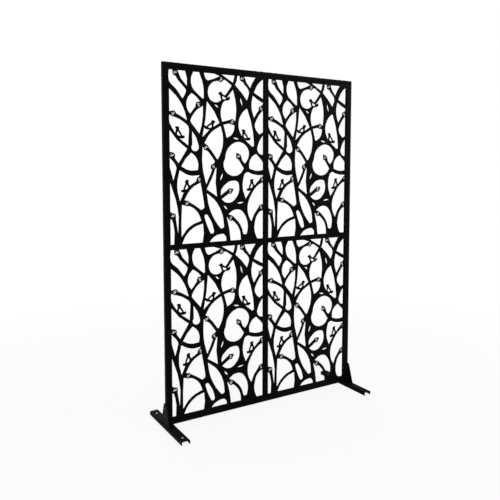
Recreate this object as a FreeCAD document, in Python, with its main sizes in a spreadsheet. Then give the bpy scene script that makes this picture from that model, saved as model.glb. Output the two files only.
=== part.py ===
import FreeCAD, Part
import Sketcher
import math
import os

from FreeCAD import Placement, Rotation, Vector

# Driving sizes in millimetres. Each goes into the sheet under its own name.
sizeTable = {
    "panelWidth": 580,
    "panelHeight": 890,
    "panelSheet": 1.5,
    "panelBorder": 13,
    "panelLip": 12,
    "sectionDepth": 20,
    "tubeWidth": 20,
    "tubeWall": 1.5,
    "tubeRadius": 2,
    "capPlate": 2,
    "capPlug": 14,
    "capWall": 1.5,
    "footLength": 410,
    "footWidth": 46,
    "footHeight": 20,
    "footWall": 2.5,
    "footBend": 4,
    "footOverhang": 6,
    "anchorHole": 12,
    "anchorInset": 40,
    "gussetHeight": 112,
    "gussetBase": 106,
    "gussetTop": 38,
    "gussetPlate": 3,
    "gussetCorner": 6,
    "budLength": 44,
    "birdLength": 70,
    "leafWidth": 8,
    "leastScrap": 6,
    "openingInset": 0.5,
    "chordError": 1.9,
    "cutOverrun": 1,
}


# A length as a sum of driving sizes: it gives a number and the text of an expression.
class Length:
    def __init__(self, terms):
        self.terms = terms

    def __add__(self, other):
        terms = dict(self.terms)
        for name, factor in other.terms.items():
            terms[name] = terms.get(name, 0) + factor
        return Length(terms)

    def __mul__(self, factor):
        return Length({name: old * factor for name, old in self.terms.items()})

    def __neg__(self):
        return self * -1

    def __sub__(self, other):
        return self + -other

    def __truediv__(self, divisor):
        return self * (1 / divisor)

    def value(self):
        return sum(factor * sizeTable[name] for name, factor in self.terms.items())

    def text(self):
        return " + ".join(f"{factor} * Sizes.{name}" for name, factor in self.terms.items()) or "0 mm"


size = {name: Length({name: 1}) for name in sizeTable}
zero = Length({})

# Fretwork places are hundredths of the window inside a panel's border, from its lower left corner.
# An opening is a list of sides. A side starts at a corner and passes through its other points to the
# next side's corner: a straight cut where there is none, an arc where there is one.
openingShares = [
    # along the top border
    [
        [(0, 93.4)],
        [(0, 100)],
        [(3.3, 100), (9.5, 93.5)],
        [(16.1, 89.4), (15, 85.9)],
        [(12.9, 84), (6.5, 89.3)],
    ],
    [[(7.8, 100)], [(15.5, 100), (17.5, 95.5)], [(17.3, 91.2), (12.3, 94.5)]],
    [
        [(24, 100)],
        [(29.4, 100), (33.2, 93.6)],
        [(34.2, 85)],
        [(32.8, 84.8)],
        [(24, 89.4), (21.2, 94.4)],
    ],
    [[(34.4, 100)], [(43.8, 100)], [(50.8, 98.3), (44, 96.9)], [(38.6, 95.5), (35.6, 97.1)]],
    [[(51.7, 100)], [(66.6, 100)], [(64.7, 95.4), (57.7, 98)]],
    [
        [(69.5, 100)],
        [(72.3, 100), (77.4, 94.7)],
        [(82.3, 91)],
        [(80, 85.4), (75.1, 89.3)],
        [(67, 94.2), (68.8, 97)],
    ],
    [[(76.7, 100)], [(89.8, 100), (86.3, 96.7)], [(83.5, 93.1), (79.5, 96.2)]],
    [[(87.8, 90.6), (93.1, 96.5)], [(100, 100)], [(100, 86.6)]],
    # upper part
    [[(0, 76.5)], [(0, 89.2), (9.3, 83.4)], [(17.3, 71.7), (8.8, 74.8)]],
    [[(22, 87.6), (26.9, 85.5)], [(30.8, 82.7), (25.2, 79.5)], [(20.2, 75.6), (16.6, 81.6)]],
    [[(33.1, 80.7), (26.1, 77.5)], [(20.5, 72)], [(21.7, 70.1)], [(29.5, 64.3), (33, 73.9)]],
    [[(37.2, 83.5), (45, 77.6)], [(50.3, 71.2), (41.7, 67.9)], [(32.4, 62.3), (35.5, 72.5)]],
    [
        [(63.4, 93.7), (58.2, 89.1)],
        [(52.5, 84.9), (46.4, 83.1)],
        [(40.9, 84.4), (38.3, 89.7)],
        [(42.3, 94.3), (45.2, 95.3)],
        [(48.4, 95.8)],
        [(55.9, 96.8)],
    ],
    [
        [(64.7, 91.4), (68.2, 81)],
        [(67.3, 72.6), (60, 73.1)],
        [(53.2, 71.9), (51.6, 78.3)],
        [(55, 84), (59.8, 87.5)],
    ],
    [
        [(80.2, 80.7), (85.3, 71.2)],
        [(88, 58.4)],
        [(86.1, 57.4), (79.3, 60.8)],
        [(73.9, 64.2), (70.6, 70.6)],
        [(73.4, 76.7), (76.4, 79.1)],
    ],
    [[(86.5, 88.8), (91.6, 86.7)], [(98.7, 84.6), (93.6, 80.5)], [(87.9, 75.2), (85, 83)]],
    [[(100, 81.2), (92.8, 76.4)], [(88.8, 70.8), (90.4, 67.7)], [(94.2, 65.2)], [(100, 68.2)]],
    [[(100, 66), (94, 61.1)], [(91.6, 56.8), (92.5, 54.5)], [(95.2, 52.9)], [(100, 52.6)]],
    # middle
    [[(0, 70.1)], [(0, 74.8), (9.4, 72.4)], [(18.3, 68.4), (18.7, 62.9)], [(18.2, 57.3), (7.7, 62.7)]],
    [[(22, 65.9), (26.4, 61.8)], [(28.5, 57.6), (25.6, 54.1)], [(22.2, 58.2)]],
    [[(0, 53.7)], [(0, 66), (7.2, 60.4)], [(17.2, 55.4), (13, 51.5)], [(8.5, 46.9)], [(4.6, 50.2)]],
    [[(11.1, 45.3), (19.1, 43)], [(27.6, 43.1), (27.1, 49.2)], [(21, 53.3), (15.8, 50)]],
    [[(0, 44.8)], [(0, 50.4), (3.1, 48.3)], [(6.5, 44.1), (5.4, 41.2)], [(3.3, 36.9), (1.5, 40.8)]],
    [[(9.4, 43.1), (18, 40.3)], [(29.6, 40)], [(26.2, 36.6), (18.7, 33.8)], [(9.6, 24.9), (6.9, 34.4)]],
    [[(32.8, 57.2), (40.3, 52.7)], [(45.1, 48.4), (41.7, 42.3)], [(36.1, 34.7), (32.6, 44.2)]],
    [[(46.7, 44.4)], [(45.6, 44.7), (43, 39.8)], [(36.5, 31.8)], [(47.5, 27.2), (45.9, 36)]],
    [[(51.5, 69.4), (42.1, 65.7)], [(34.3, 58.9), (41.2, 55)], [(47.4, 49.7)], [(48.8, 49.9), (54, 60)]],
    [[(54.4, 70.2), (60, 71.2)], [(66.3, 70.6), (64.3, 65.3)], [(57.8, 62.4)]],
    [
        [(77.7, 47.1), (80.5, 49.3)],
        [(82.2, 54.4), (78.1, 58.5)],
        [(68.9, 60.2), (61.9, 58)],
        [(56.1, 50.2), (54.8, 44.6)],
        [(59.4, 40.8), (68, 39.7)],
        [(76.5, 44.2), (73.5, 46.8)],
        [(71, 49.5)],
        [(73.1, 51.5), (74.9, 48.8)],
    ],
    [[(82.8, 44), (90.8, 42.7)], [(100, 43.5)], [(100, 45.6), (95.8, 50)], [(90.5, 53.2), (83.9, 49.8)]],
    [
        [(78.6, 25.5), (75.2, 32.6)],
        [(77, 40.3), (80.2, 41.8)],
        [(84.5, 41), (91.9, 40)],
        [(100, 40), (88.6, 33.8)],
    ],
    [[(100, 36.3), (90.3, 32.6)], [(84.5, 27.5), (80.6, 19.7)], [(85, 11.1), (90.6, 17.8)], [(100, 22.2)]],
    # along the bottom border
    [[(0, 19.5)], [(0, 36.4), (5.1, 27)], [(8.2, 16)], [(7.7, 5.5), (6.1, 12)], [(4.4, 17.8)]],
    [[(0, 0)], [(3.5, 0), (3.7, 9.5)], [(2, 14.6)], [(0, 15.2)]],
    [[(13.8, 25.6), (21.2, 32.5)], [(30, 36.1), (32.6, 28)], [(34.1, 21.3)], [(31, 19.5), (23.5, 22.8)]],
    [[(11.5, 23.1), (24.9, 19.9)], [(30.8, 13.2), (19, 10)], [(10.7, 4.1), (10.7, 14)]],
    [[(11.1, 0)], [(32.1, 0), (33.4, 6.8)], [(32.6, 11.5), (20.1, 8.2)]],
    [
        [(34, 15.6), (35.5, 16.8)],
        [(37.6, 16.2), (42.1, 11.3)],
        [(44, 6.8), (42.3, 5.1)],
        [(40.1, 5.6), (36.3, 10.9)],
    ],
    [[(36.6, 29.6), (48.2, 22.7)], [(54.7, 8.9), (53.4, 8.1)], [(51, 8), (41.4, 17.3)]],
    [[(39.1, 0)], [(57, 0), (56.3, 3.2)], [(53.6, 4.6), (45.8, 3.7)]],
    [
        [(52.2, 25.7), (60.1, 23.3)],
        [(66.8, 25.4), (71.4, 31.3)],
        [(69.6, 36.1), (62.4, 36.6)],
        [(55.2, 33.9), (51.9, 31.3)],
        [(51.5, 27.9)],
        [(59, 31)],
        [(59.6, 29)],
    ],
    [
        [(59.5, 16.2), (64.4, 18.6)],
        [(73.9, 18.3), (79.8, 12.8)],
        [(79.8, 3.9), (78.1, 3.4)],
        [(75.8, 4), (69.5, 12.1)],
    ],
    [[(57.6, 14.7), (60.5, 7)], [(61.8, 0)], [(73.1, 0), (67.7, 10.6)]],
    [[(92.7, 0)], [(100, 0)], [(100, 18.7), (93.1, 16.3)], [(89.1, 10.9), (88.5, 5.9)]],
]

# A bud's middle in the same hundredths, and the way that its tip points in degrees.
budShares = [
    (5.8, 98.5, 126),
    (52.2, 96.8, -3),
    (74.5, 98.6, 126),
    (28.9, 81.3, 49),
    (3.4, 75.3, 160),
    (64, 72.1, -4),
    (96.1, 81.2, 52),
    (2.1, 51.7, 130),
    (35.8, 56.6, 143),
    (43.8, 45.4, 60),
    (70.4, 51.6, 122),
    (29.2, 37.7, 36),
    (97.6, 37.5, 36),
    (61.7, 30.6, 25),
    (16.3, 23.8, 155),
    (2.7, 16.9, 125),
    (61.8, 14, 165),
    (96.3, 20, 51),
]
# Half of a bud's outline, its tip, and the slit in it, which has three fingers, in shares of its length
# from its middle, with the tip along the first axis.
budHalfShares = [(-0.42, 0.13), (-0.04, 0.3)]
budTipShare = (0.5, 0)
budSlitShares = [
    (-0.18, -0.15),
    (-0.04, -0.16),
    (-0.14, -0.07),
    (0.18, -0.02),
    (-0.1, 0.03),
    (0.1, 0.12),
    (-0.08, 0.16),
]

# Where a bird sits, in the same hundredths, how far its head is raised in degrees, and 1 where it looks
# right.
birdShares = [
    (6.8, 63.1, 52, -1),
    (53.8, 84.8, 22, -1),
    (75.9, 62.9, 48, -1),
    (42, 67.7, 30, 1),
    (18.4, 32.6, 62, 1),
    (87.3, 32.7, 62, 1),
]
# A bird's outline and the cut of its wing, in shares of its length from where it sits, looking right.
birdOutlineShares = [
    (0.54, 0.25),
    (0.46, 0.43),
    (0.31, 0.5),
    (0.17, 0.4),
    (-0.1, 0.385),
    (-0.29, 0.34),
    (-0.38, 0.48),
    (-0.52, 0.41),
    (-0.46, 0.19),
    (-0.14, -0.06),
    (0.12, -0.06),
    (0.36, 0.22),
]
birdWingShares = [(0.15, 0.25), (-0.2, 0.24), (-0.11, 0.1), (0.05, 0.1)]

# Leaf cuts in the wide parts of the branches: from one tip to the other, in hundredths of the window.
leafShares = [
    (45.4, 81.9, 49.0, 80.1),
    (72.6, 87.0, 74.8, 81.9),
    (64.8, 62.6, 70.9, 61.9),
    (53.6, 41.4, 50.9, 36.8),
    (54.6, 21.8, 58.1, 19.2),
    (69.0, 22.8, 76.1, 23.4),
]

doc = FreeCAD.newDocument("PrivacyScreen")
sheet = doc.addObject("Spreadsheet::Sheet", "Sizes")
for row, (name, number) in enumerate(sizeTable.items(), start=1):
    sheet.set(f"A{row}", name)
    sheet.set(f"B{row}", str(number))
    sheet.setAlias(f"B{row}", name)
doc.recompute()

# Where the pieces meet, from the driving sizes
half = 0.5
nearlyZero = 1e-6
footTop = size["footHeight"]
panelBottom = footTop + size["tubeWidth"]
seamHeight = panelBottom + size["panelHeight"]
panelTop = seamHeight + size["panelHeight"]
screenTop = panelTop + size["tubeWidth"]
postInner = size["panelWidth"]
postMiddle = postInner + size["tubeWidth"] * half
postOuter = postInner + size["tubeWidth"]
footOuter = postOuter + size["footOverhang"]
frontFace = size["sectionDepth"] * -half


def place(thing, x=None, y=None, z=None):
    for axis, length in (("x", x), ("y", y), ("z", z)):
        if length is not None:
            thing.setExpression(f"Placement.Base.{axis}", length.text())
    return thing


def body(label):
    thing = doc.addObject("PartDesign::Body", label)
    thing.Label = label
    return thing


def plane(thing, role):
    return next(f for f in thing.Origin.OriginFeatures if f.Role == role)


# A sketch of one closed outline of straight sides, with each corner tied to the sheet.
def outline(thing, role, corners, label):
    sketch = thing.newObject("Sketcher::SketchObject", label)
    sketch.AttachmentSupport = [(plane(thing, role), "")]
    sketch.MapMode = "FlatFace"
    addOutline(sketch, corners)
    return sketch


def addOutline(sketch, corners):
    first = sketch.GeometryCount
    points = [Vector(a.value(), b.value(), 0) for a, b in corners]
    for start, end in zip(points, points[1:] + points[:1]):
        sketch.addGeometry(Part.LineSegment(start, end))
    last = len(points) - 1
    for i in range(len(points)):
        follower = first + (i + 1 if i < last else 0)
        sketch.addConstraint(Sketcher.Constraint("Coincident", first + i, 2, follower, 1))
    for i, (a, b) in enumerate(corners):
        tie(sketch, "DistanceX", first + i, 1, a)
        tie(sketch, "DistanceY", first + i, 1, b)


def tie(sketch, kind, element, point, length):
    index = sketch.addConstraint(Sketcher.Constraint(kind, -1, 1, element, point, length.value()))
    sketch.setExpression(f"Constraints[{index}]", length.text())


def addHole(sketch, a, b, diameter):
    centre = Vector(a.value(), b.value(), 0)
    index = sketch.addGeometry(Part.Circle(centre, Vector(0, 0, 1), diameter.value() / 2))
    radius = sketch.addConstraint(Sketcher.Constraint("Diameter", index, diameter.value()))
    sketch.setExpression(f"Constraints[{radius}]", diameter.text())
    tie(sketch, "DistanceX", index, 3, a)
    tie(sketch, "DistanceY", index, 3, b)


def rectangle(width, depth):
    x = width * half
    y = depth * half
    return [(-x, -y), (x, -y), (x, y), (-x, y)]


def pad(thing, sketch, length, label, centred=False, reversedWay=False):
    feature = thing.newObject("PartDesign::Pad", label)
    feature.Profile = sketch
    feature.setExpression("Length", length.text())
    feature.Midplane = centred
    feature.Reversed = reversedWay
    sketch.Visibility = False
    thing.Tip = feature
    doc.recompute()
    return feature


def pocketThrough(thing, sketch, label):
    feature = thing.newObject("PartDesign::Pocket", label)
    feature.Profile = sketch
    feature.Type = "ThroughAll"
    feature.Midplane = True
    sketch.Visibility = False
    thing.Tip = feature
    doc.recompute()
    return feature


# Rounds the straight edges along an axis that the test picks by their middle.
def roundEdges(thing, base, axis, picked, radius, label):
    names = []
    for number, edge in enumerate(base.Shape.Edges, start=1):
        straight = isinstance(edge.Curve, (Part.Line, Part.LineSegment))
        along = edge.Vertexes[-1].Point - edge.Vertexes[0].Point
        if straight and along.cross(axis).Length < nearlyZero and picked(edge.CenterOfMass):
            names.append(f"Edge{number}")
    feature = thing.newObject("PartDesign::Fillet", label)
    feature.Base = (base, names)
    feature.setExpression("Radius", radius.text())
    thing.Tip = feature
    doc.recompute()
    return feature


# Square tube along Z from its own origin.
def tube(label, length):
    thing = body(label)
    bore = size["tubeWidth"] - size["tubeWall"] * 2
    section = rectangle(size["tubeWidth"], size["sectionDepth"])
    sketch = outline(thing, "XY_Plane", section, label + "_section")
    addOutline(sketch, rectangle(bore, size["sectionDepth"] - size["tubeWall"] * 2))
    wall = pad(thing, sketch, length, label + "_tube")
    boreReach = (bore.value() + size["tubeWidth"].value()) / 4
    roundEdges(
        thing,
        wall,
        Vector(0, 0, 1),
        lambda middle: abs(middle.x) > boreReach,
        size["tubeRadius"],
        label + "_corners",
    )
    return thing


def post(side, sign):
    tall = screenTop - footTop - size["capPlate"]
    return place(tube(f"{side}_post", tall), x=postMiddle * sign, z=footTop)


def rail(label, height):
    thing = tube(label, postInner * 2)
    thing.Placement = Placement(Vector(0, 0, 0), Rotation(Vector(0, 1, 0), 90))
    return place(thing, x=-postInner, z=height)


# Plug that closes a post: a plate on the tube's end and a hollow skirt in its bore.
def cap(side, sign):
    label = f"{side}_post_cap"
    thing = body(label)
    bore = size["tubeWidth"] - size["tubeWall"] * 2
    deepBore = size["sectionDepth"] - size["tubeWall"] * 2
    plateShape = rectangle(size["tubeWidth"], size["sectionDepth"])
    plate = outline(thing, "XY_Plane", plateShape, label + "_plate_outline")
    top = pad(thing, plate, size["capPlate"], label + "_plate")
    roundEdges(thing, top, Vector(0, 0, 1), lambda middle: True, size["tubeRadius"], label + "_corners")
    skirt = outline(thing, "XY_Plane", rectangle(bore, deepBore), label + "_skirt_outline")
    addOutline(skirt, rectangle(bore - size["capWall"] * 2, deepBore - size["capWall"] * 2))
    pad(thing, skirt, size["capPlug"], label + "_skirt", reversedWay=True)
    return place(thing, x=postMiddle * sign, z=screenTop - size["capPlate"])


# Folded channel, open below and at both ends, with an anchor hole near each end.
def foot(side, sign):
    label = f"{side}_foot"
    thing = body(label)
    out = size["footWidth"] * half
    inside = out - size["footWall"]
    under = size["footHeight"] - size["footWall"]
    section = [
        (-out, zero),
        (-inside, zero),
        (-inside, under),
        (inside, under),
        (inside, zero),
        (out, zero),
        (out, size["footHeight"]),
        (-out, size["footHeight"]),
    ]
    sketch = outline(thing, "XZ_Plane", section, label + "_section")
    channel = pad(thing, sketch, size["footLength"], label + "_channel", centred=True)
    level = (size["footHeight"] - size["cutOverrun"]).value()
    low = (under - size["cutOverrun"]).value()
    along = Vector(0, 1, 0)
    outerEdge = lambda middle: middle.z > level
    innerEdge = lambda middle: low < middle.z < level
    bent = roundEdges(thing, channel, along, outerEdge, size["footBend"], label + "_outer_bends")
    innerBend = size["footBend"] - size["footWall"]
    roundEdges(thing, bent, along, innerEdge, innerBend, label + "_inner_bends")
    holes = thing.newObject("Sketcher::SketchObject", label + "_anchor_places")
    holes.AttachmentSupport = [(plane(thing, "XY_Plane"), "")]
    holes.MapMode = "FlatFace"
    reach = size["footLength"] * half - size["anchorInset"]
    for end in (-1, 1):
        addHole(holes, zero, reach * end, size["anchorHole"])
    pocketThrough(thing, holes, label + "_anchor_holes")
    return place(thing, x=(footOuter - out) * sign)


# Upright plate on the outside of a post: wide on the foot, narrow at the top, with cut corners.
def gusset(side, sign):
    label = f"{side}_gusset"
    thing = body(label)
    low = size["gussetBase"] * half
    high = size["gussetTop"] * half
    corner = size["gussetCorner"]
    tall = size["gussetHeight"]
    profile = [
        (-low, zero),
        (low, zero),
        (high, tall - corner),
        (high - corner, tall),
        (corner - high, tall),
        (-high, tall - corner),
    ]
    sketch = outline(thing, "YZ_Plane", profile, label + "_outline")
    pad(thing, sketch, size["gussetPlate"], label + "_plate", centred=True)
    return place(thing, x=(postOuter + size["gussetPlate"] * half) * sign, z=footTop)


# Fretwork: flat faces in a panel's own frame, front face at Y zero, corner at the origin.
windowLow = size["panelBorder"].value()
windowWide = (size["panelWidth"] - size["panelBorder"] * 2).value()
windowTall = (size["panelHeight"] - size["panelBorder"] * 2).value()
frontStart = -size["cutOverrun"].value()
hundred = 100


def windowPoint(share):
    across, up = share
    x = windowLow + windowWide * across / hundred
    z = windowLow + windowTall * up / hundred
    return Vector(x, frontStart, z)


# The corners of a side, up to its end: an arc is laid as chords, so that a panel stays light.
def chords(points):
    if len(points) == 2:
        return points[:1]
    arc = Part.Arc(*points).toShape()
    turn = 2 * math.acos(1 - min(1, size["chordError"].value() / arc.Curve.Radius))
    count = math.ceil(arc.Length / arc.Curve.Radius / turn)
    return arc.discretize(Number=count + 1)[:-1]


def polygon(corners):
    return Part.Face(Part.makePolygon(corners + corners[:1]))


# The same corners with each side moved in, whichever way round they run.
def drawnIn(corners, inset):
    ends = corners[1:] + corners[:1]
    facing = Vector(0, sum(start.cross(end).y for start, end in zip(corners, ends)), 0).normalize()
    moved = []
    for before, corner, after in zip(corners[-1:] + corners, corners, ends):
        arriving, leaving = (corner - before).normalize(), (after - corner).normalize()
        moved.append(corner + facing.cross(arriving + leaving) * (inset / (1 + arriving.dot(leaving))))
    return moved


def openingFace(sides):
    starts = [side[0] for side in sides]
    ends = starts[1:] + starts[:1]
    corners = []
    for side, end in zip(sides, ends):
        corners.extend(chords([windowPoint(share) for share in side + [end]]))
    return polygon(drawnIn(corners, size["openingInset"].value()))


# Sets a small outline of shares down at a place in the window, scaled by a length, turned and mirrored.
def setDown(shares, spot, length, degrees, sign=1):
    turn = Rotation(Vector(0, -1, 0), degrees)
    middle = windowPoint(spot)
    corners = [Vector(sign * across * length, 0, up * length) for across, up in shares]
    return polygon([middle + turn.multVec(corner) for corner in corners])


def leafFace(x0, y0, x1, y1):
    start, end = windowPoint((x0, y0)), windowPoint((x1, y1))
    bow = (end - start).cross(Vector(0, 1, 0)).normalize() * (size["leafWidth"] * half).value()
    middle = (start + end) * half
    return polygon(chords([start, middle + bow, end]) + chords([end, middle - bow, start]))


def mirrored(shares):
    return [(across, -up) for across, up in reversed(shares)]


# What stays of the sheet inside the openings, and what is cut besides them.
def ornaments():
    budLength = size["budLength"].value()
    birdLength = size["birdLength"].value()
    kept = []
    cuts = [leafFace(*ends) for ends in leafShares]
    for x, y, angle in budShares:
        outlineShares = budHalfShares + [budTipShare] + mirrored(budHalfShares)
        kept.append(setDown(outlineShares, (x, y), budLength, angle))
        cuts.append(setDown(budSlitShares, (x, y), budLength, angle))
    for x, y, raised, sign in birdShares:
        kept.append(setDown(birdOutlineShares, (x, y), birdLength, raised * sign, sign))
        cuts.append(setDown(birdWingShares, (x, y), birdLength, raised * sign, sign))
    return kept, cuts


def fretworkCut():
    kept, cuts = ornaments()
    leastArea = size["leastScrap"].value() ** 2
    for sides in openingShares:
        opening = openingFace(sides)
        near = [piece for piece in kept if piece.BoundBox.intersect(opening.BoundBox)]
        left = opening.cut(near).Faces if near else [opening]
        cuts.extend(piece for piece in left if piece.Area > leastArea)
    through = Vector(0, (size["panelSheet"] + size["cutOverrun"] * 2).value(), 0)
    return Part.makeCompound([piece.extrude(through) for piece in cuts])


def box(label, x, y, z, wide, deep, tall):
    thing = doc.addObject("Part::Box", label)
    for side, length in (("Length", wide), ("Width", deep), ("Height", tall)):
        thing.setExpression(side, length.text())
    return place(thing, x, y, z)


def cut(label, base, tool):
    thing = doc.addObject("Part::Cut", label)
    thing.Base = base
    thing.Tool = tool
    return thing


# Folded tray: the pierced front sheet, four flanges and a lip turned in behind them.
def panel(label, left, bottom, fretwork):
    width, height, depth = size["panelWidth"], size["panelHeight"], size["sectionDepth"]
    wall = size["panelSheet"]
    lip = size["panelLip"]
    back = frontFace + depth
    blank = box(label + "_blank", left, frontFace, bottom, width, depth, height)
    hollow = box(
        label + "_hollow",
        left + wall,
        frontFace + wall,
        bottom + wall,
        width - wall * 2,
        depth - wall * 2,
        height - wall * 2,
    )
    mouth = box(
        label + "_mouth",
        left + lip,
        back - wall - size["cutOverrun"],
        bottom + lip,
        width - lip * 2,
        wall + size["cutOverrun"] * 2,
        height - lip * 2,
    )
    pierced = doc.addObject("Part::Feature", label + "_fretwork")
    pierced.Shape = fretwork
    place(pierced, left, frontFace, bottom)
    tray = cut(label + "_tray", cut(label + "_folded", blank, hollow), mouth)
    thing = cut(label, tray, pierced)
    thing.Label = label
    doc.recompute()
    return thing


fretwork = fretworkCut()
parts = [
    panel("lower_left_panel", -postInner, panelBottom, fretwork),
    panel("lower_right_panel", zero, panelBottom, fretwork),
    panel("upper_left_panel", -postInner, seamHeight, fretwork),
    panel("upper_right_panel", zero, seamHeight, fretwork),
    rail("bottom_rail", footTop + size["tubeWidth"] * half),
    rail("top_rail", screenTop - size["tubeWidth"] * half),
]
for side, sign in (("left", -1), ("right", 1)):
    parts.append(post(side, sign))
    parts.append(cap(side, sign))
    parts.append(foot(side, sign))
    parts.append(gusset(side, sign))
doc.recompute()

for thing in doc.Objects:
    if "Invalid" in thing.State or "Error" in thing.State:
        raise RuntimeError(f"{thing.Label} is in state {thing.State}")

os.makedirs("parts", exist_ok=True)
for thing in parts:
    shape = thing.Shape
    if shape.isNull() or not shape.isValid():
        raise RuntimeError(f"{thing.Label} has no valid shape")
    shape.exportStep(f"parts/{thing.Label}.step")
    print(thing.Label, len(shape.Solids), "solid,", len(shape.Faces), "faces")
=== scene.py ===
import math

import bmesh
import bpy
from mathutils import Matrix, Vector
from mathutils.geometry import tessellate_polygon


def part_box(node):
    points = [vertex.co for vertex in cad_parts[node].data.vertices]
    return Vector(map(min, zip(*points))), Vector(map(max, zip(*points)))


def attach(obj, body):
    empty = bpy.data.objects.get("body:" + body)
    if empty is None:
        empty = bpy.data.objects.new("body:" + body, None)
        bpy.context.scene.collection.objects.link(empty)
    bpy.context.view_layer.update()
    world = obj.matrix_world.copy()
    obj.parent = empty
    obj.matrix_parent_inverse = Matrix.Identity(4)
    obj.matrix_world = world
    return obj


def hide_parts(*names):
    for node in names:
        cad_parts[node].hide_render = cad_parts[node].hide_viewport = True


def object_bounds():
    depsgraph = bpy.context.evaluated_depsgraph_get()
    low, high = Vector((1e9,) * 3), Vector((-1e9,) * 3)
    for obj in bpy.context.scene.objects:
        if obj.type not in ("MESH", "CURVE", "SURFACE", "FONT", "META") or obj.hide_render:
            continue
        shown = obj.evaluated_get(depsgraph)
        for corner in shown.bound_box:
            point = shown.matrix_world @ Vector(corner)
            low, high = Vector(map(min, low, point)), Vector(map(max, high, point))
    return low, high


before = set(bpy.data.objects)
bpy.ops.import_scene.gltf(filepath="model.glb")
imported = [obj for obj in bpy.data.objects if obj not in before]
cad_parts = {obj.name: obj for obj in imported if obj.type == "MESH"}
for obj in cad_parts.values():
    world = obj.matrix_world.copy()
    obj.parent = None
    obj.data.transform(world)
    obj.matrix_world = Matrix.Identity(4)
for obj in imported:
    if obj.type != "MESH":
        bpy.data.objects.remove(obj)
cadLow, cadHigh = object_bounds()
mm = 0.001
weld = 0.01 * mm  # points nearer than this are one
screenBody = "root"
panelNodes = ("lower_left_panel", "lower_right_panel", "upper_left_panel", "upper_right_panel")
print("frame loaded:", len(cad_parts), "nodes")


# a socket, so that shader and node maths reads as plain sums
class Wire:
    def __init__(self, book, socket):
        self.book = book
        self.socket = socket

    def sum(self, operation, first, second):
        return self.book.add(self.book.mathNode, 0, {"operation": operation}, {0: first, 1: second})

    def __add__(self, other):
        return self.sum("ADD", self, other)

    def __radd__(self, other):
        return self.sum("ADD", other, self)

    def __sub__(self, other):
        return self.sum("SUBTRACT", self, other)

    def __rsub__(self, other):
        return self.sum("SUBTRACT", other, self)

    def __mul__(self, other):
        return self.sum("MULTIPLY", self, other)

    def __rmul__(self, other):
        return self.sum("MULTIPLY", other, self)

    def __truediv__(self, other):
        return self.sum("DIVIDE", self, other)

    def __rtruediv__(self, other):
        return self.sum("DIVIDE", other, self)


# a node tree that is written from the script
class NodeBook:
    mathNode = "ShaderNodeMath"

    def __init__(self, tree):
        self.tree = tree

    def plug(self, socket, value):
        if isinstance(value, Wire):
            self.tree.links.new(value.socket, socket)
        else:
            socket.default_value = value

    def add(self, kind, output, settings=None, sockets=None):
        node = self.tree.nodes.new(kind)
        for name, value in (settings or {}).items():
            if name == "stops":
                self.setStops(node.color_ramp, value)
            else:
                setattr(node, name, value)
        for name, value in (sockets or {}).items():
            self.plug(node.inputs[name], value)
        return Wire(self, node.outputs[output])

    def setStops(self, ramp, stops):
        while len(ramp.elements) < len(stops):
            ramp.elements.new(0.5)
        for element, (position, shade) in zip(ramp.elements, stops):
            element.position = position
            element.color = (shade, shade, shade, 1)


class Finish(NodeBook):
    def __init__(self, name):
        self.material = bpy.data.materials.new(name)
        self.material.use_nodes = True
        super().__init__(self.material.node_tree)
        self.shader = self.tree.nodes["Principled BSDF"]
        self.place = self.add("ShaderNodeTexCoord", "Object")

    def noise(self, scale, detail=2.0, roughness=0.5):
        sockets = {"Vector": self.place, "Scale": scale, "Detail": detail, "Roughness": roughness}
        return self.add("ShaderNodeTexNoise", 0, {}, sockets)

    def ramp(self, value, stops):
        return self.add("ShaderNodeValToRGB", 0, {"stops": stops}, {"Fac": value})

    def blend(self, factor, first, second):
        sockets = {0: factor, 6: first, 7: second}
        return self.add("ShaderNodeMix", 2, {"data_type": "RGBA"}, sockets)

    def bump(self, height, depth, strength):
        sockets = {"Strength": strength, "Distance": depth, "Height": height}
        return self.add("ShaderNodeBump", "Normal", {}, sockets)

    def part(self, vector, axis):
        return self.add("ShaderNodeSeparateXYZ", axis, {}, {"Vector": vector})

    def paint(self, **sockets):
        for name, value in sockets.items():
            self.plug(self.shader.inputs[name.replace("_", " ")], value)
        return self.material


def grey(level, tint=0.0):
    return (level, level, level * (1 + tint), 1)


# baked powder: a fine orange peel, uneven gloss, a breath of dust on what looks up
coatLook = {
    "black": 0.0013,
    "worn": 0.0032,
    "wornShare": 0.35,
    "dust": 0.012,
    "dustShare": 0.2,
    "shine": 0.026,
    "gloss": 0.43,  # roughness, and how much clouds, peel and dust change it
    "cloudGloss": 0.12,
    "peelGloss": 0.1,
    "dustGloss": 0.6,
    "cloudScale": 7.0,
    "peelScale": 900.0,
    "peelDepth": 0.05 * mm,
    "peelStrength": 0.55,
    "grainScale": 2600.0,
    "grainShare": 0.35,
}


def powderCoat(name, look, **changes):
    look = {**look, **changes}
    coat = Finish(name)
    cloud = coat.noise(look["cloudScale"], 3.0, 0.55)
    peel = coat.noise(look["peelScale"], 1.5, 0.4)
    grain = coat.noise(look["grainScale"], 1.0, 0.5)
    normal = coat.add("ShaderNodeNewGeometry", "Normal")
    upward = coat.ramp(coat.part(normal, "Z"), [(0.5, 0.0), (0.95, 1.0)])
    dust = upward * coat.ramp(cloud, [(0.35, 0.25), (0.7, 1.0)]) * look["dustShare"]
    worn = coat.ramp(cloud, [(0.3, 0.0), (0.75, 1.0)]) * look["wornShare"]
    shade = coat.blend(worn, grey(look["black"]), grey(look["worn"], 0.04))
    shade = coat.blend(dust, shade, grey(look["dust"], -0.08))
    bump = coat.bump(peel + grain * look["grainShare"], look["peelDepth"], look["peelStrength"])
    rough = look["gloss"] + (cloud - 0.5) * look["cloudGloss"] + (peel - 0.5) * look["peelGloss"]
    rough = rough + dust * look["dustGloss"]
    return coat.paint(Base_Color=shade, Roughness=rough, Normal=bump, Specular_IOR_Level=look["shine"])


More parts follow.
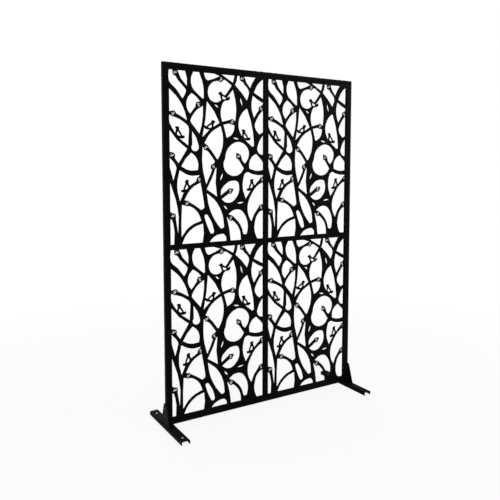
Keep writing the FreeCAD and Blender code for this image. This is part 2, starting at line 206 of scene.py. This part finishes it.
# moulded plugs: fine grain and a soft sheen
plasticLook = {
    "black": 0.005,
    "pale": 0.009,
    "paleShare": 0.6,
    "shine": 0.15,
    "gloss": 0.55,
    "grainGloss": 0.15,
    "cloudScale": 40.0,
    "grainScale": 3200.0,
    "grainDepth": 0.06 * mm,
    "grainStrength": 0.5,
}


def mouldedPlastic(name, look):
    skin = Finish(name)
    grain = skin.noise(look["grainScale"], 2.0, 0.6)
    cloud = skin.noise(look["cloudScale"], 2.0, 0.5)
    shade = skin.blend(cloud * look["paleShare"], grey(look["black"]), grey(look["pale"]))
    bump = skin.bump(grain, look["grainDepth"], look["grainStrength"])
    rough = look["gloss"] + (grain - 0.5) * look["grainGloss"]
    return skin.paint(Base_Color=shade, Roughness=rough, Normal=bump, Specular_IOR_Level=look["shine"])


# blackened steel, rubbed in patches
boltLook = {
    "black": 0.006,
    "rubbed": 0.03,
    "rubbedShare": 0.5,
    "metal": 0.35,
    "rubbedMetal": 0.5,
    "gloss": 0.38,
    "grainGloss": 0.2,
    "patchScale": 220.0,
    "grainScale": 1500.0,
    "grainDepth": 0.03 * mm,
    "grainStrength": 0.4,
}


def blackenedSteel(name, look):
    steel = Finish(name)
    grain = steel.noise(look["grainScale"], 2.0, 0.6)
    patch = steel.ramp(steel.noise(look["patchScale"], 3.0, 0.6), [(0.5, 0.0), (0.72, 1.0)])
    shade = steel.blend(patch * look["rubbedShare"], grey(look["black"], 0.08), grey(look["rubbed"]))
    bump = steel.bump(grain, look["grainDepth"], look["grainStrength"])
    rough = look["gloss"] + (grain - 0.5) * look["grainGloss"]
    metal = look["metal"] + patch * look["rubbedMetal"]
    return steel.paint(Base_Color=shade, Roughness=rough, Metallic=metal, Normal=bump)


panelCoat = powderCoat("panelCoat", coatLook)
frameCoat = powderCoat("frameCoat", coatLook, black=0.0016, gloss=0.4)
footCoat = powderCoat("footCoat", coatLook, black=0.0016, shine=0.014, dustShare=0.25)
capPlastic = mouldedPlastic("capPlastic", plasticLook)
boltSteel = blackenedSteel("boltSteel", boltLook)
print("finishes made")


def dress(node, material):
    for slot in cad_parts[node].material_slots:
        slot.material = material


for name in ("left_post", "right_post", "bottom_rail", "top_rail"):
    dress(name, frameCoat)
for name in ("left_foot", "right_foot", "left_gusset", "right_gusset"):
    dress(name, footCoat)
for name in ("left_post_cap", "right_post_cap"):
    dress(name, capPlastic)


def addPiece(name, mesh, material, sharpTurn=35):
    mesh.materials.clear()
    mesh.materials.append(material)
    mesh.shade_smooth()
    mesh.set_sharp_from_angle(angle=math.radians(sharpTurn))
    piece = bpy.data.objects.new(name, mesh)
    bpy.context.scene.collection.objects.link(piece)
    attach(piece, screenBody)
    return piece


# folded tray with a pierced front: outlines come from the frame, round cuts are drawn round again
panelShape = {
    "sheet": 1.5 * mm,
    "fold": 2.2 * mm,  # outer radius of a bend
    "foldSteps": 4,
    "lip": 12 * mm,
    "edge": 0.25 * mm,  # what the coat rounds off a cut edge
    "cornerTurn": 62,  # a sharper turn stays a corner, in degrees
    "stepTurn": 9,  # how far one step of a round cut turns
    "leastStep": 0.8 * mm,
    "near": 0.1 * mm,  # what counts as on the front face
}


def thinned(points, least):
    kept = []
    for point in points:
        if not kept or (point - kept[-1]).length > least:
            kept.append(point)
    while (kept[0] - kept[-1]).length <= least:
        kept.pop()
    return kept


# closed outlines of a panel's front face, from its lower left corner, with the metal on their left
def frontOutlines(node):
    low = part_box(node)[0]
    near = panelShape["near"]
    mesh = bmesh.new()
    mesh.from_mesh(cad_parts[node].data)
    bmesh.ops.remove_doubles(mesh, verts=mesh.verts, dist=weld)
    onFront = {face for face in mesh.faces if all(v.co.y - low.y < near for v in face.verts)}
    following = {}
    for face in onFront:
        for loop in face.loops:
            if not any(other in onFront for other in loop.edge.link_faces if other is not face):
                following[loop.vert] = loop.link_loop_next.vert
    outlines = []
    while following:
        start, vert = following.popitem()
        outline = [start]
        while vert is not start:
            outline.append(vert)
            vert = following.pop(vert)
        points = [Vector((v.co.x - low.x, v.co.z - low.z)) for v in outline]
        first = points.index(min(points, key=tuple))  # a fixed start, so that every run draws the same
        outlines.append(thinned(points[first:] + points[:first], panelShape["leastStep"]))
    mesh.free()
    outlines.sort(key=lambda points: (points[0].x - max(p.x for p in points), *points[0]))
    return outlines


# a curve through an outline's points that keeps its corners
def drawnRound(points, shape):
    count = len(points)
    runs = [points[(i + 1) % count] - points[i] for i in range(count)]
    tangents = []
    for i in range(count):
        before, after = runs[i - 1], runs[i]
        sharp = before.angle(after) > math.radians(shape["cornerTurn"])
        tangents.append(None if sharp else (before + after).normalized())
    drawn = []
    for i in range(count):
        start, run = points[i], runs[i]
        end = start + run
        way = run.normalized()
        leave = tangents[i] or way
        arrive = tangents[(i + 1) % count] or way
        reachOut = min(run.length, runs[i - 1].length) / 3
        reachIn = min(run.length, runs[(i + 1) % count].length) / 3
        turn = leave.angle(way) + way.angle(arrive)
        steps = max(1, math.ceil(math.degrees(turn) / shape["stepTurn"]))
        for step in range(steps):
            t = step / steps
            drawn.append(
                start * (1 - t) ** 3
                + (start + leave * reachOut) * 3 * t * (1 - t) ** 2
                + (end - arrive * reachIn) * 3 * t**2 * (1 - t)
                + end * t**3
            )
    return thinned(drawn, shape["leastStep"])


# the same outline, moved into the metal
def setBack(points, distance):
    moved = []
    for i, point in enumerate(points):
        before = (point - points[i - 1]).normalized()
        after = (points[(i + 1) % len(points)] - point).normalized()
        left = Vector((-before.y - after.y, before.x + after.x))
        if left.length < 0.5:  # a needle tip
            left = Vector((-after.y, after.x))
        moved.append(point + left.normalized() * distance)
    return moved


# a bud, cut open by pointed slits that fan towards its tip: shares of its length, along and across
budShape = {
    "swell": 2.8 * mm,  # how much fuller its flanks are drawn
    "fullFrom": 0.15,  # across the bud, the swell is whole from here
    "fullTo": 0.3,  # to here
    "none": 0.6,  # and gone from here
    "onBorder": 0.3 * mm,  # what counts as on the panel's border
    "frameCorners": (7, 2),  # of the frame's one slit in a bud: all, and those that point inward
    "frameSlit": (-0.12, -0.02),  # between those two
    "frameReach": 0.3,  # from there to that slit's far tip
    "slits": [
        ((-0.21, -0.11), (0.04, -0.2)),
        ((-0.19, 0.01), (0.21, -0.01)),
        ((-0.13, 0.13), (0.13, 0.19)),
    ],
    "slitWidth": 0.078,
    "slitRound": [(0.2, 0.8), (0.45, 1), (0.75, 0.7)],  # shares of its length and of its width there
}


# the place, way and length of the bud that an outline opens, if it is such a slit
def budAt(points, shape):
    inward = []
    for i, point in enumerate(points):
        before, after = point - points[i - 1], points[(i + 1) % len(points)] - point
        if before.cross(after) > 0:
            inward.append(point)
    if (len(points), len(inward)) != shape["frameCorners"]:
        return None
    middle = (inward[0] + inward[1]) / 2
    tip = max(points, key=lambda point: (point - middle).length)
    way = (tip - middle).normalized()
    length = (tip - middle).length / shape["frameReach"]
    along, over = shape["frameSlit"]
    return middle - (way * along + way.orthogonal() * over) * length, way, length


def budSlits(bud, shape):
    place, way, length = bud
    for ends in shape["slits"]:
        first, last = (place + (way * along + way.orthogonal() * over) * length for along, over in ends)
        run = last - first
        half = run.orthogonal().normalized() * shape["slitWidth"] * length / 2
        there = [first + run * share + half * full for share, full in shape["slitRound"]]
        back = [first + run * share - half * full for share, full in reversed(shape["slitRound"])]
        yield [first, *there, last, *back]


# pushes an outline's points away from the middle line of each bud beside them
def swelled(points, buds, shape, window):
    drawn = []
    for point in points:
        moved = point.copy()
        for place, way, length in buds:
            along = (point - place).dot(way) / length
            over = (point - place).dot(way.orthogonal()) / length
            rise = min(abs(over) / shape["fullFrom"], 1)
            fall = min(max((shape["none"] - abs(over)) / (shape["none"] - shape["fullTo"]), 0), 1)
            share = max(1 - (2 * along) ** 4, 0) * rise * fall
            moved += way.orthogonal() * math.copysign(shape["swell"] * share, over)
        for axis in (0, 1):  # points on the border stay on it
            if any(abs(point[axis] - edge[axis]) < shape["onBorder"] for edge in window):
                moved[axis] = point[axis]
        drawn.append(moved)
    return drawn


# rows of the fold's section: how far in from the panel's edge, and how deep
def foldRows(depth, shape):
    fold, sheet, lip, edge = shape["fold"], shape["sheet"], shape["lip"], shape["edge"]
    inner = fold - sheet
    angles = [math.pi / 2 * i / shape["foldSteps"] for i in range(shape["foldSteps"] + 1)]
    front = [(fold - fold * math.sin(a), fold - fold * math.cos(a)) for a in angles]
    back = [(fold - fold * math.cos(a), depth - fold + fold * math.sin(a)) for a in angles]
    hem = [(lip - edge, depth), (lip, depth - edge)]
    hem += [(lip, depth - sheet + edge), (lip - edge, depth - sheet)]
    backInside = [(fold - inner * math.sin(a), depth - fold + inner * math.cos(a)) for a in angles]
    frontInside = [(fold - inner * math.cos(a), fold - inner * math.sin(a)) for a in angles]
    return front + back + hem + backInside + frontInside


def panelMesh(node, cuts, shape):
    low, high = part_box(node)
    wide, deep, tall = high - low
    verts = []
    faces = []

    def addRow(points, depth):
        first = len(verts)
        verts.extend((low.x + p.x, low.y + depth, low.z + p.y) for p in points)
        return list(range(first, len(verts)))

    def bridge(row, nextRow):
        for i in range(len(row)):
            j = (i + 1) % len(row)
            faces.append((row[i], row[j], nextRow[j], nextRow[i]))

    folds = []
    for inset, depth in foldRows(deep, shape):
        right, top = wide - inset, tall - inset
        corners = [(inset, inset), (right, inset), (right, top), (inset, top)]
        folds.append(addRow([Vector(c) for c in corners], depth))
    for row, nextRow in zip(folds, folds[1:]):
        bridge(nextRow, row)

    sheet, edge = shape["sheet"], shape["edge"]
    rims = []
    for cut in cuts:
        backCut = setBack(cut, edge)
        rows = [addRow(backCut, 0), addRow(cut, edge)]
        rows += [addRow(cut, sheet - edge), addRow(backCut, sheet)]
        for row, nextRow in zip(rows, rows[1:]):
            bridge(nextRow, row)
        rims.append((rows[0], rows[-1]))

    for outer, holes in ((folds[0], [r[0] for r in rims]), (folds[-1], [r[1] for r in rims])):
        rows = [outer] + holes
        order = [index for row in rows for index in row]
        flat = [[Vector((verts[i][0], verts[i][2], 0)) for i in row] for row in rows]
        faces.extend(tuple(order[k] for k in triple) for triple in tessellate_polygon(flat))

    mesh = bpy.data.meshes.new(node + "_folded")
    mesh.from_pydata(verts, [], faces)
    tidy = bmesh.new()
    tidy.from_mesh(mesh)
    bmesh.ops.recalc_face_normals(tidy, faces=tidy.faces)
    tidy.to_mesh(mesh)
    tidy.free()
    return mesh


outlines = frontOutlines(panelNodes[0])[1:]
drawnPoints = [point for points in outlines for point in points]
window = [Vector(pick(point[axis] for point in drawnPoints) for axis in (0, 1)) for pick in (min, max)]
buds, cuts = [], []
for points in outlines:
    bud = budAt(points, budShape)
    if bud:
        buds.append(bud)
    else:
        cuts.append(drawnRound(points, panelShape))
cuts = [swelled(points, buds, budShape, window) for points in cuts]
cuts.extend(slit for bud in buds for slit in budSlits(bud, budShape))
print("buds opened:", len(buds))
for node in panelNodes:
    piece = addPiece(node + "_cut", panelMesh(node, cuts, panelShape), panelCoat)
    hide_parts(node)
print("panels drawn:", len(cuts), "cuts,", sum(len(c) for c in cuts), "points each")


# a geometry tree with named inputs, made into a plain mesh
class Maker(NodeBook):
    def __init__(self, name):
        super().__init__(bpy.data.node_groups.new(name, "GeometryNodeTree"))
        self.keys = {}
        self.source = self.tree.nodes.new("NodeGroupInput")
        self.sink = self.tree.nodes.new("NodeGroupOutput")
        self.tree.interface.new_socket("Geometry", in_out="OUTPUT", socket_type="NodeSocketGeometry")
        self.path = self.input("Geometry", "NodeSocketGeometry")

    def input(self, name, kind="NodeSocketFloat"):
        item = self.tree.interface.new_socket(name, in_out="INPUT", socket_type=kind)
        self.keys[name] = item.identifier
        return Wire(self, self.source.outputs[name])

    def vector(self, x=0.0, y=0.0, z=0.0):
        return self.add("ShaderNodeCombineXYZ", 0, {}, {"X": x, "Y": y, "Z": z})

    def lifted(self, geometry, height):
        sockets = {"Geometry": geometry, "Translation": self.vector(z=height)}
        return self.add("GeometryNodeTransform", 0, {}, sockets)

    def chance(self, least, most, seed):
        sockets = {2: least, 3: most, "Seed": seed}
        return self.add("FunctionNodeRandomValue", 1, {"data_type": "FLOAT"}, sockets)

    def flipped(self, mesh):
        return self.add("GeometryNodeFlipFaces", 0, {}, {"Mesh": mesh})

    def joined(self, *shapes):
        node = self.tree.nodes.new("GeometryNodeJoinGeometry")
        for shape in reversed(shapes):
            self.tree.links.new(shape.socket, node.inputs[0])
        return Wire(self, node.outputs[0])

    def end(self, instances):
        solid = self.add("GeometryNodeRealizeInstances", 0, {}, {"Geometry": instances})
        material = self.input("Material", "NodeSocketMaterial")
        dressed = self.add("GeometryNodeSetMaterial", 0, {}, {"Geometry": solid, "Material": material})
        self.tree.links.new(dressed.socket, self.sink.inputs[0])

    def make(self, name, seed, values):
        holder = bpy.data.objects.new(name + "_seed", seed)
        bpy.context.scene.collection.objects.link(holder)
        modifier = holder.modifiers.new("maker", "NODES")
        modifier.node_group = self.tree
        for key, value in values.items():
            modifier[self.keys[key]] = value
        graph = bpy.context.evaluated_depsgraph_get()
        mesh = bpy.data.meshes.new_from_object(holder.evaluated_get(graph))
        mesh.name = name
        holder.modifiers.remove(modifier)
        bpy.data.objects.remove(holder)
        return mesh


def lid(maker, around, height, radius):
    sockets = {"Vertices": around, "Radius": radius}
    return maker.lifted(maker.add("GeometryNodeMeshCircle", 0, {"fill_type": "NGON"}, sockets), height)


# a turned shape: rings of heights and radii above a closed base
def turned(maker, around, rings):
    parts = [maker.flipped(lid(maker, around, *rings[0]))]
    for (low, wide), (high, narrow) in zip(rings, rings[1:]):
        sockets = {"Vertices": around, "Radius Bottom": wide, "Radius Top": narrow, "Depth": high - low}
        ring = maker.add("GeometryNodeMeshCone", 0, {"fill_type": "NONE"}, sockets)
        parts.append(maker.lifted(ring, low))
    return maker.joined(*parts)


# sets a shape on every point, its top along the point's aim, turned by chance
def setOnPoints(maker, *parts):
    sockets = {"Geometry": maker.joined(*parts), "Distance": weld}
    shape = maker.add("GeometryNodeMergeByDistance", 0, {}, sockets)
    kind = {"data_type": "FLOAT_VECTOR"}
    aim = maker.add("GeometryNodeInputNamedAttribute", 0, kind, {"Name": "aim"})
    upright = maker.add("FunctionNodeAlignRotationToVector", 0, {"axis": "Z"}, {"Vector": aim})
    spin = maker.chance(0.0, math.tau, 7)
    turn = maker.add("FunctionNodeAxisAngleToRotation", 0, {}, {"Axis": (0, 0, 1), "Angle": spin})
    sockets = {"Rotation": upright, "Rotate By": turn}
    rotation = maker.add("FunctionNodeRotateRotation", 0, {"rotation_space": "LOCAL"}, sockets)
    sockets = {"Points": maker.path, "Instance": shape, "Rotation": rotation}
    maker.end(maker.add("GeometryNodeInstanceOnPoints", 0, {}, sockets))
    return maker


# low round head with a hexagon socket
headShape = {
    "Radius": 5.5 * mm,
    "Height": 2.8 * mm,
    "Socket": 4 * mm,
    "Socket Depth": 1.6 * mm,
}
headAround = 24
headRings = [(0.0, 1.0), (0.22, 0.98), (0.6, 0.84), (0.86, 0.68), (1.0, 0.54)]  # of height and radius


def headMaker():
    maker = Maker("buttonHead")
    radius = maker.input("Radius")
    height = maker.input("Height")
    socket = maker.input("Socket") / math.sqrt(3)
    depth = maker.input("Socket Depth")
    rings = [(height * high, radius * wide) for high, wide in headRings]
    sockets = {"Resolution": headAround, "Radius": rings[-1][1]}
    rim = maker.add("GeometryNodeCurvePrimitiveCircle", 0, {}, sockets)
    hexagon = maker.add("GeometryNodeCurvePrimitiveCircle", 0, {}, {"Resolution": 6, "Radius": socket})
    top = maker.add("GeometryNodeFillCurve", 0, {}, {"Curve": maker.joined(rim, hexagon)})
    sockets = {"Vertices": 6, "Radius": socket, "Depth": depth}
    walls = maker.flipped(maker.add("GeometryNodeMeshCylinder", 0, {"fill_type": "NONE"}, sockets))
    return setOnPoints(
        maker,
        turned(maker, headAround, rings),
        maker.lifted(top, height),
        maker.lifted(walls, height - depth / 2),
        lid(maker, 6, height - depth, socket),
    )


# hexagon nut on a washer, with the end of the thread above it
nutShape = {
    "Across Flats": 10 * mm,
    "Height": 5 * mm,
    "Washer Radius": 6 * mm,
    "Washer Height": 1.2 * mm,
    "Thread Radius": 3 * mm,
    "Stub": 2.5 * mm,
}
nutEdge = {"chamfer": 0.18, "crown": 0.87, "tip": 0.75}  # shares of height, corner and thread
nutAround = (28, 6, 18)  # washer, nut and thread


def nutMaker():
    maker = Maker("nutOnWasher")
    corner = maker.input("Across Flats") / math.sqrt(3)
    height = maker.input("Height")
    washerRadius = maker.input("Washer Radius")
    washerHeight = maker.input("Washer Height")
    threadRadius = maker.input("Thread Radius")
    stub = maker.input("Stub")
    top = washerHeight + height
    end = top + stub
    chamfer = height * nutEdge["chamfer"]
    washerRings = [(0, washerRadius), (washerHeight, washerRadius)]
    nutRings = [(washerHeight, corner), (top - chamfer, corner), (top, corner * nutEdge["crown"])]
    threadRings = [(top - chamfer, threadRadius), (end, threadRadius)]
    threadRings.append((end + chamfer, threadRadius * nutEdge["tip"]))
    shapes = []
    for around, rings in zip(nutAround, (washerRings, nutRings, threadRings)):
        shapes.append(turned(maker, around, rings))
        shapes.append(lid(maker, around, *rings[-1]))
    return setOnPoints(maker, *shapes)


boltPlan = {"fromCorner": (30 * mm, 66 * mm), "sheet": panelShape["sheet"]}


def pointsMesh(name, places):
    mesh = bpy.data.meshes.new(name)
    mesh.from_pydata([place for place, way in places], [], [])
    aim = mesh.attributes.new("aim", "FLOAT_VECTOR", "POINT")
    for item, (place, way) in zip(aim.data, places):
        item.vector = way
    return mesh


# places along one side of a panel, near its two ends
def boltsAlong(start, end, plan):
    way = (end - start).normalized()
    for reach in plan["fromCorner"]:
        yield start + way * reach
        yield end - way * reach


def boltPlaces(plan):
    heads, nuts = [], []
    sheet = plan["sheet"]
    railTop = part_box("top_rail")[1].z
    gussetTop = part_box("left_gusset")[1].z
    up, right = Vector((0, 0, 1)), Vector((1, 0, 0))

    def pair(place, way, headFace):
        heads.append((place + way * headFace, way))
        nuts.append((place - way * sheet, -way))

    for node in panelNodes:
        low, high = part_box(node)
        lowLeft, lowRight = Vector((low.x, 0, low.z)), Vector((high.x, 0, low.z))
        highLeft, highRight = Vector((low.x, 0, high.z)), Vector((high.x, 0, high.z))
        side = "left" if "left" in node else "right"
        outside = -right if side == "left" else right
        post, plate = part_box(side + "_post"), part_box(side + "_gusset")
        tube, plateSheet = post[1].x - post[0].x, plate[1].x - plate[0].x
        postSide = (lowLeft, highLeft) if side == "left" else (lowRight, highRight)
        for place in boltsAlong(*postSide, plan):
            pair(place, outside, tube + (plateSheet if place.z < gussetTop else 0))
        for place in boltsAlong(highLeft, highRight, plan):
            pair(place, up, sheet if node.startswith("lower") else railTop - high.z)
        if node.startswith("lower"):  # these go down into threaded inserts in the rail
            heads.extend((place + up * sheet, up) for place in boltsAlong(lowLeft, lowRight, plan))
        if side == "left":
            for place in boltsAlong(lowRight, highRight, plan):
                pair(place, -right, sheet)
    return heads, nuts


heads, nuts = boltPlaces(boltPlan)
for name, places, maker, shape in (
    ("frame_bolts", heads, headMaker(), headShape),
    ("frame_nuts", nuts, nutMaker(), nutShape),
):
    mesh = maker.make(name, pointsMesh(name, places), {**shape, "Material": boltSteel})
    addPiece(name, mesh, boltSteel)
print("bolts set:", len(heads), "heads,", len(nuts), "nuts")


# rippled bead where each gusset stands on its foot
beadShape = {
    "Ripple": 2.1 * mm,
    "Radius": 2.3 * mm,
    "uneven": (0.88, 1.1),
    "endGap": 3 * mm,
    "postGap": 3 * mm,
    "sharpTurn": 60,
}


def beadMaker():
    maker = Maker("weldBead")
    ripple = maker.input("Ripple")
    radius = maker.input("Radius")
    line = maker.add("GeometryNodeMeshToCurve", 0, {}, {"Mesh": maker.path})
    sockets = {"Curve": line, "Length": ripple}
    line = maker.add("GeometryNodeResampleCurve", 0, {"mode": "LENGTH"}, sockets)
    sockets = {"Segments": 10, "Rings": 6, "Radius": radius}
    drop = maker.add("GeometryNodeMeshUVSphere", 0, {}, sockets)
    size = maker.chance(*beadShape["uneven"], 3)
    sockets = {"Points": line, "Instance": drop, "Scale": maker.vector(size, size, size)}
    maker.end(maker.add("GeometryNodeInstanceOnPoints", 0, {}, sockets))
    return maker


def beadLines(shape):
    verts, edges = [], []
    for side in ("left", "right"):
        plate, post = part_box(side + "_gusset"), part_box(side + "_post")
        outer, inner = (plate[0].x, plate[1].x) if side == "left" else (plate[1].x, plate[0].x)
        start, end = plate[0].y + shape["endGap"], plate[1].y - shape["endGap"]
        front, back = post[0].y - shape["postGap"], post[1].y + shape["postGap"]
        for x, y0, y1 in ((outer, start, end), (inner, start, front), (inner, back, end)):
            edges.append((len(verts), len(verts) + 1))
            verts.extend([(x, y0, plate[0].z), (x, y1, plate[0].z)])
    mesh = bpy.data.meshes.new("bead_lines")
    mesh.from_pydata(verts, edges, [])
    return mesh


values = {"Ripple": beadShape["Ripple"], "Radius": beadShape["Radius"], "Material": footCoat}
beads = beadMaker().make("gusset_welds", beadLines(beadShape), values)
addPiece("gusset_welds", beads, footCoat, beadShape["sharpTurn"])
print("welds laid")


# pale floor, soft light, and the camera at the photograph's angle
stageLook = {
    "floor": 0.9,
    "patchScale": 1.5,
    "patchShade": 0.97,
    "patchShare": 0.25,
    "spread": 14.0,
    "glow": 0.85,  # share of plain white that the camera sees near the screen
    "fade": (1.2, 3.4),  # the floor turns to plain white between these distances
    "sky": 0.5,
}


# camera, mirror and clear-glass rays, which see the white ground
def plainlySeen(book):
    seen = book.add("ShaderNodeLightPath", "Is Camera Ray")
    for name in ("Is Glossy Ray", "Is Transmission Ray"):
        seen = seen.sum("MAXIMUM", seen, book.add("ShaderNodeLightPath", name))
    return seen


def paleFloor(look):
    finish = Finish("paleFloor")
    patch = finish.noise(look["patchScale"], 2.0, 0.5) * look["patchShare"]
    shade = finish.blend(patch, grey(look["floor"]), grey(look["floor"] * look["patchShade"]))
    finish.paint(Base_Color=shade, Roughness=0.8, Specular_IOR_Level=0.2)
    glow = finish.add("ShaderNodeEmission", 0, {}, {"Color": (1, 1, 1, 1), "Strength": 1.0})
    reach = finish.add("ShaderNodeVectorMath", "Value", {"operation": "LENGTH"}, {0: finish.place})
    near, far = look["fade"]
    sockets = {"Value": reach, 1: near, 2: far}
    away = finish.add("ShaderNodeMapRange", 0, {"interpolation_type": "SMOOTHSTEP"}, sockets)
    seen = plainlySeen(finish) * (look["glow"] + away * (1 - look["glow"]))
    surface = Wire(finish, finish.shader.outputs[0])
    mixed = finish.add("ShaderNodeMixShader", 0, {}, {0: seen, 1: surface, 2: glow})
    finish.tree.links.new(mixed.socket, finish.tree.nodes["Material Output"].inputs["Surface"])
    return finish.material


def addFloor(look):
    reach = look["spread"]
    mesh = bpy.data.meshes.new("floor")
    corners = [(-reach, -reach, 0), (reach, -reach, 0), (reach, reach, 0), (-reach, reach, 0)]
    mesh.from_pydata(corners, [], [(0, 1, 2, 3)])
    mesh.materials.append(paleFloor(look))
    floor = bpy.data.objects.new("floor", mesh)
    bpy.context.scene.collection.objects.link(floor)


def addSky(look):
    world = bpy.data.worlds.new("studio")
    bpy.context.scene.world = world
    world.use_nodes = True
    book = NodeBook(world.node_tree)
    plain = book.add("ShaderNodeBackground", 0, {}, {"Color": (1, 1, 1, 1), "Strength": look["sky"]})
    white = book.add("ShaderNodeBackground", 0, {}, {"Color": (1, 1, 1, 1), "Strength": 1.0})
    mixed = book.add("ShaderNodeMixShader", 0, {}, {0: plainlySeen(book), 1: plain, 2: white})
    world.node_tree.links.new(mixed.socket, world.node_tree.nodes["World Output"].inputs["Surface"])


lamps = {
    "key": {"place": (-2.6, -3.2, 3.6), "size": 2.2, "power": 90},
    "fill": {"place": (3.2, -2.4, 2.4), "size": 2.6, "power": 45},
    "rim": {"place": (0.8, 3.4, 3.2), "size": 2.4, "power": 50},
}


def addLamps(plan):
    target = (cadLow + cadHigh) / 2
    for name, facts in plan.items():
        light = bpy.data.lights.new(name, "AREA")
        light.size = facts["size"]
        light.energy = facts["power"]
        lamp = bpy.data.objects.new(name, light)
        lamp.location = facts["place"]
        lamp.rotation_euler = (target - lamp.location).to_track_quat("-Z", "Y").to_euler()
        bpy.context.scene.collection.objects.link(lamp)


cameraView = {
    "place": (-1.6807, -2.6013, 1.314),
    "turn": -31.3,
    "tilt": -4.51,
    "lens": 40.69,
    "shift": -0.07,
}


def addCamera(view):
    data = bpy.data.cameras.new("camera")
    data.sensor_width = 36
    data.lens = view["lens"]
    data.shift_y = view["shift"]
    camera = bpy.data.objects.new("camera", data)
    camera.location = view["place"]
    camera.rotation_euler = (math.radians(90 + view["tilt"]), 0, math.radians(view["turn"]))
    bpy.context.scene.collection.objects.link(camera)
    bpy.context.scene.camera = camera


addFloor(stageLook)
addSky(stageLook)
addLamps(lamps)
addCamera(cameraView)
bpy.context.scene.view_settings.view_transform = "Standard"

bpy.context.view_layer.update()
print("scene ready")
